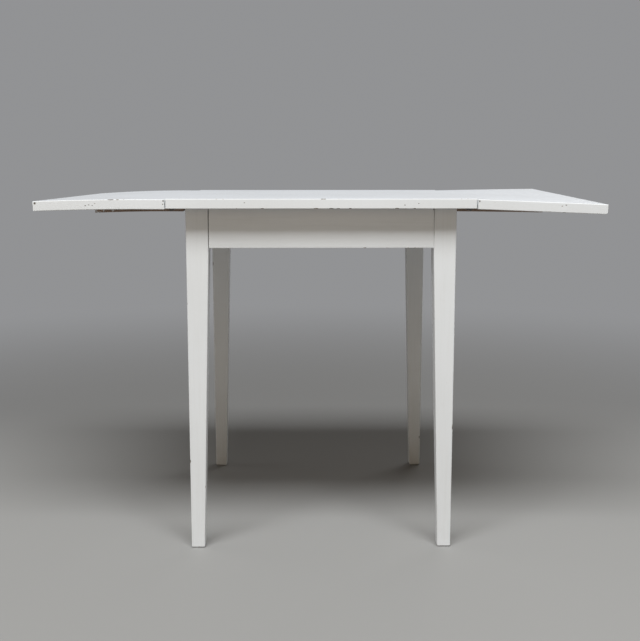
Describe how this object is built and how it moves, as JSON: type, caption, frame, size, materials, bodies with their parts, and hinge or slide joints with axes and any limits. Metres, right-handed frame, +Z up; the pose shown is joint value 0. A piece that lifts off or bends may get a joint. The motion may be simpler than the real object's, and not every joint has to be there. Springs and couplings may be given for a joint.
{
  "type": "pembroke table",
  "caption": "White painted drop-leaf table with square tapered legs, hinged side leaves and sliding bars that hold the leaves up.",
  "frame": {"origin": "on the floor under the middle of the table", "axes": "+X across the leaves, +Y from the pictured end to the far end, +Z up"},
  "size_m": [1.1602, 0.7, 0.7489],
  "materials": {
    "painted_top": "worn white oil paint, satin",
    "painted_frame": "worn white oil paint, satin",
    "bare_wood": "bare softwood darkened with age",
    "peg_wood": "bare turned dowel",
    "hinge_iron": "dull grey iron",
    "screw_steel": "dull slotted steel"
  },
  "bodies": {
    "frame": {"back_rail": "painted_frame", "centre_bearer": "bare_wood", "centre_top": "painted_top", "corner_block_back_left": "bare_wood", "corner_block_back_right": "bare_wood", "corner_block_front_left": "bare_wood", "corner_block_front_right": "bare_wood", "front_rail": "painted_frame", "hinge_left_back_fixed": "hinge_iron", "hinge_left_back_pin": "hinge_iron", "hinge_left_front_fixed": "hinge_iron", "hinge_left_front_pin": "hinge_iron", "hinge_right_back_fixed": "hinge_iron", "hinge_right_back_pin": "hinge_iron", "hinge_right_front_fixed": "hinge_iron", "hinge_right_front_pin": "hinge_iron", "hinge_screws_fixed": "screw_steel", "left_rail": "painted_frame", "leg_back_left": "painted_frame", "leg_back_right": "painted_frame", "leg_front_left": "painted_frame", "leg_front_right": "painted_frame", "right_rail": "painted_frame", "top_screws": "screw_steel"},
    "left_leaf": {"batten_screws_left": "screw_steel", "hinge_left_back_leaf": "hinge_iron", "hinge_left_front_leaf": "hinge_iron", "hinge_screws_left": "screw_steel", "left_batten": "bare_wood", "left_leaf": "painted_top"},
    "right_leaf": {"batten_screws_right": "screw_steel", "hinge_right_back_leaf": "hinge_iron", "hinge_right_front_leaf": "hinge_iron", "hinge_screws_right": "screw_steel", "right_batten": "bare_wood", "right_leaf": "painted_top"},
    "loper_left_back": {"loper_left_back": "bare_wood", "stop_peg_left_back": "peg_wood"},
    "loper_left_front": {"loper_left_front": "bare_wood", "stop_peg_left_front": "peg_wood"},
    "loper_right_back": {"loper_right_back": "bare_wood", "stop_peg_right_back": "peg_wood"},
    "loper_right_front": {"loper_right_front": "bare_wood", "stop_peg_right_front": "peg_wood"}
  },
  "joints": [
    {"name": "left_leaf_fold", "type": "hinge", "parent": "frame", "child": "left_leaf", "pos_m": [-0.31475, 0, 0.7216], "axis": [0, -1, 0], "range_deg": [0, 88.8]},
    {"name": "right_leaf_fold", "type": "hinge", "parent": "frame", "child": "right_leaf", "pos_m": [0.31475, 0, 0.7216], "axis": [0, 1, 0], "range_deg": [0, 89.3]},
    {"name": "loper_left_front_slide", "type": "slide", "parent": "frame", "child": "loper_left_front", "axis": [1, 0, 0], "range_m": [-0.19, 0]},
    {"name": "loper_left_back_slide", "type": "slide", "parent": "frame", "child": "loper_left_back", "axis": [1, 0, 0], "range_m": [-0.19, 0]},
    {"name": "loper_right_front_slide", "type": "slide", "parent": "frame", "child": "loper_right_front", "axis": [-1, 0, 0], "range_m": [-0.19, 0]},
    {"name": "loper_right_back_slide", "type": "slide", "parent": "frame", "child": "loper_right_back", "axis": [-1, 0, 0], "range_m": [-0.19, 0]}
  ]
}
